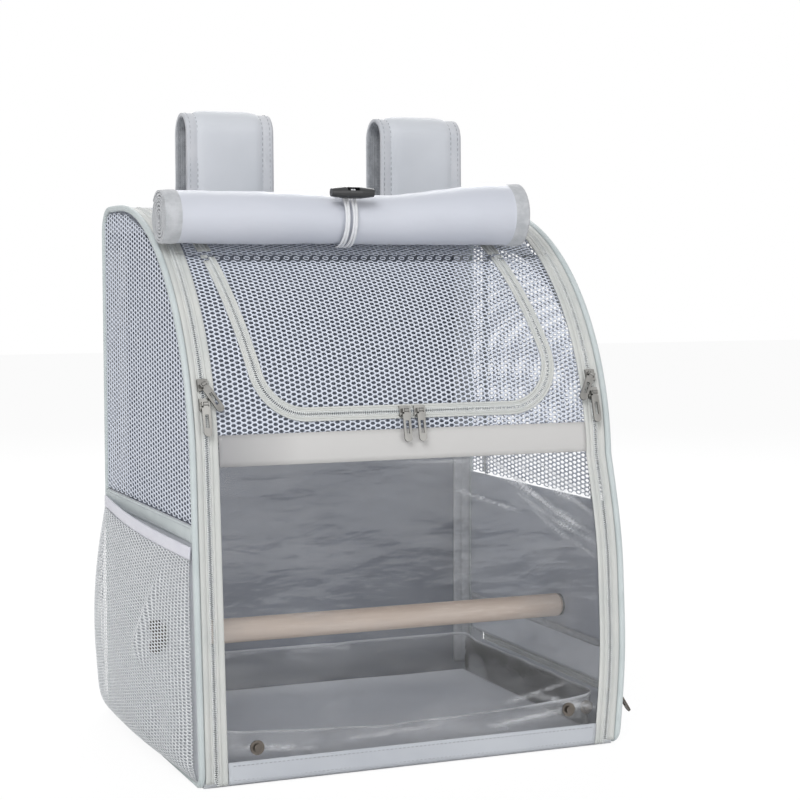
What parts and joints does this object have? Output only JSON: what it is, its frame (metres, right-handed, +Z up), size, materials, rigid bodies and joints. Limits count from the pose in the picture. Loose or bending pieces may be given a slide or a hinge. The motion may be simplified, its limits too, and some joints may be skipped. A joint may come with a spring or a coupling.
{
  "type": "bird travel carrier",
  "caption": "Backpack carrier for a pet bird with mesh walls, a clear front window, zipped doors, a wooden perch, a lift-out tray and a rolled rain cover.",
  "frame": {"origin": "on the floor, midway across the bag and midway between its front and back at floor level", "axes": "+X to the right seen from the front, +Y from the front panel to the back, +Z up"},
  "size_m": [0.3852, 0.2932, 0.506],
  "materials": {
    "shell_fabric": "matt coated polyester",
    "piping": "covered cord",
    "zip_tape": "woven tape with nylon coil",
    "mesh": "open knitted mesh",
    "clear_sheet": "clear flexible sheet",
    "webbing": "woven webbing",
    "elastic": "elastic",
    "black_plastic": "satin",
    "metal": "plated",
    "dark_metal": "dark plated",
    "wood": "sanded, unfinished",
    "mat_fabric": "matt"
  },
  "bodies": {
    "bag": {"base_panel": "shell_fabric", "back_panel": "shell_fabric", "back_pad": "mat_fabric", "corner_bindings": "piping", "top_panel": "shell_fabric", "top_mesh_strip": "mesh", "edge_piping": "piping", "frame_zip_halves": "zip_tape", "left_side_mesh": "mesh", "left_lower_panel": "shell_fabric", "right_mesh_surround": "mesh", "right_lower_panel": "shell_fabric", "side_bindings": "piping", "inner_skirts": "shell_fabric", "side_zip_outer": "zip_tape", "left_pocket": "mesh", "left_pocket_hem": "elastic", "cover_roll": "shell_fabric", "cinch_loops": "elastic", "carry_handle": "webbing", "shoulder_straps": "shell_fabric", "strap_webbing": "webbing", "strap_buckles": "black_plastic", "perch": "wood", "perch_bolts": "metal", "perch_washers": "metal"},
    "toggle_bar": {"toggle": "black_plastic"},
    "nut_left": {"wing_nut_left": "metal"},
    "nut_right": {"wing_nut_right": "metal"},
    "front_panel": {"door_base_strip": "shell_fabric", "front_window": "clear_sheet", "divider_strip": "shell_fabric", "front_mesh": "mesh", "door_zip_halves": "zip_tape", "window_snaps": "dark_metal"},
    "front_hatch": {"hatch_mesh": "mesh", "hatch_zip_inner": "zip_tape"},
    "side_door": {"arch_mesh": "mesh", "arch_zip_inner": "zip_tape"},
    "side_flap": {"tray_flap": "shell_fabric", "flap_zip_inner": "zip_tape"},
    "tray": {"tray_liner": "clear_sheet", "tray_mat": "mat_fabric", "tray_snap": "dark_metal"},
    "zip_left_upper": {"slider_left_upper": "metal"},
    "tab_left_upper": {"pull_left_upper": "metal"},
    "zip_left_lower": {"slider_left_lower": "metal"},
    "tab_left_lower": {"pull_left_lower": "metal"},
    "zip_right_upper": {"slider_right_upper": "metal"},
    "tab_right_upper": {"pull_right_upper": "metal"},
    "zip_right_lower": {"slider_right_lower": "metal"},
    "tab_right_lower": {"pull_right_lower": "metal"},
    "zip_hatch_left": {"slider_hatch_left": "metal"},
    "tab_hatch_left": {"pull_hatch_left": "metal"},
    "zip_hatch_right": {"slider_hatch_right": "metal"},
    "tab_hatch_right": {"pull_hatch_right": "metal"},
    "zip_arch": {"slider_arch": "metal"},
    "tab_arch": {"pull_arch": "metal"},
    "zip_tray": {"slider_tray": "dark_metal"},
    "tab_tray": {"pull_tray": "dark_metal"}
  },
  "joints": [
    {"name": "front_panel_drop", "type": "hinge", "parent": "bag", "child": "front_panel", "pos_m": [0, -0.137, 0.002], "axis": [1, 0, 0], "range_deg": [0, 85]},
    {"name": "front_hatch_lift", "type": "hinge", "parent": "front_panel", "child": "front_hatch", "pos_m": [0, -0.03929, 0.38388], "axis": [-1, 0, 0], "range_deg": [0, 70]},
    {"name": "side_door_open", "type": "hinge", "parent": "bag", "child": "side_door", "pos_m": [0.1732, 0, 0.1913], "axis": [0, 1, 0], "range_deg": [0, 150]},
    {"name": "side_flap_open", "type": "hinge", "parent": "bag", "child": "side_flap", "pos_m": [0.1711, 0, 0.0064], "axis": [0, 1, 0], "range_deg": [0, 85]},
    {"name": "tray_lift", "type": "slide", "parent": "bag", "child": "tray", "axis": [0, 0, 1], "range_m": [0, 0.035]},
    {"name": "left_upper_slider_run", "type": "hinge", "parent": "front_panel", "child": "zip_left_upper", "pos_m": [0, 0.08529, 0.21856], "axis": [-1, 0, 0], "range_deg": [0, 22]},
    {"name": "left_lower_slider_run", "type": "hinge", "parent": "front_panel", "child": "zip_left_lower", "pos_m": [0, 0.08529, 0.21856], "axis": [-1, 0, 0], "range_deg": [-11, 0]},
    {"name": "right_upper_slider_run", "type": "hinge", "parent": "front_panel", "child": "zip_right_upper", "pos_m": [0, 0.08529, 0.21856], "axis": [-1, 0, 0], "range_deg": [0, 22]},
    {"name": "right_lower_slider_run", "type": "hinge", "parent": "front_panel", "child": "zip_right_lower", "pos_m": [0, 0.08529, 0.21856], "axis": [-1, 0, 0], "range_deg": [-11, 0]},
    {"name": "hatch_left_slider_run", "type": "slide", "parent": "front_hatch", "child": "zip_hatch_left", "axis": [-1, 0, 0], "range_m": [0, 0.07]},
    {"name": "hatch_right_slider_run", "type": "slide", "parent": "front_hatch", "child": "zip_hatch_right", "axis": [1, 0, 0], "range_m": [0, 0.07]},
    {"name": "side_door_slider_run", "type": "hinge", "parent": "side_door", "child": "zip_arch", "pos_m": [0, 0.08529, 0.21856], "axis": [-1, 0, 0], "range_deg": [0, 80]},
    {"name": "side_flap_slider_run", "type": "slide", "parent": "side_flap", "child": "zip_tray", "axis": [0, 1, 0], "range_m": [0, 0.219]},
    {"name": "left_upper_tab_swing", "type": "hinge", "parent": "zip_left_upper", "child": "tab_left_upper", "pos_m": [-0.1591, -0.11313, 0.29235], "axis": [-0.866, -0.1743, -0.4686], "range_deg": [0, 150]},
    {"name": "left_lower_tab_swing", "type": "hinge", "parent": "zip_left_lower", "child": "tab_left_lower", "pos_m": [-0.1591, -0.1178, 0.27833], "axis": [-1, 0, 0], "range_deg": [0, 150]},
    {"name": "right_upper_tab_swing", "type": "hinge", "parent": "zip_right_upper", "child": "tab_right_upper", "pos_m": [0.1591, -0.11313, 0.29235], "axis": [-0.866, 0.1743, 0.4686], "range_deg": [0, 150]},
    {"name": "right_lower_tab_swing", "type": "hinge", "parent": "zip_right_lower", "child": "tab_right_lower", "pos_m": [0.1591, -0.1178, 0.27833], "axis": [-1, 0, 0], "range_deg": [0, 150]},
    {"name": "hatch_left_tab_swing", "type": "hinge", "parent": "zip_hatch_left", "child": "tab_hatch_left", "pos_m": [-0.003, -0.12029, 0.26912], "axis": [-1, 0, 0], "range_deg": [0, 150]},
    {"name": "hatch_right_tab_swing", "type": "hinge", "parent": "zip_hatch_right", "child": "tab_hatch_right", "pos_m": [0.009, -0.12029, 0.26912], "axis": [-1, 0, 0], "range_deg": [0, 150]},
    {"name": "arch_tab_swing", "type": "hinge", "parent": "zip_arch", "child": "tab_arch", "pos_m": [0.1764, -0.09281, 0.2365], "axis": [0, -1, 0], "range_deg": [0, 150]},
    {"name": "tray_tab_swing", "type": "hinge", "parent": "zip_tray", "child": "tab_tray", "pos_m": [0.1766, -0.1235, 0.042], "axis": [0, -1, 0], "range_deg": [-32, 118]},
    {"name": "left_nut_turn", "type": "hinge", "parent": "bag", "child": "nut_left", "pos_m": [-0.1751, -0.043, 0.096], "axis": [-1, 0, 0], "continuous": true},
    {"name": "right_nut_turn", "type": "hinge", "parent": "bag", "child": "nut_right", "pos_m": [0.1751, -0.043, 0.096], "axis": [1, 0, 0], "continuous": true},
    {"name": "toggle_turn", "type": "hinge", "parent": "bag", "child": "toggle_bar", "pos_m": [-0.023, -0.06167, 0.43442], "axis": [0, -0.7431, 0.6691], "range_deg": [-90, 90]}
  ]
}
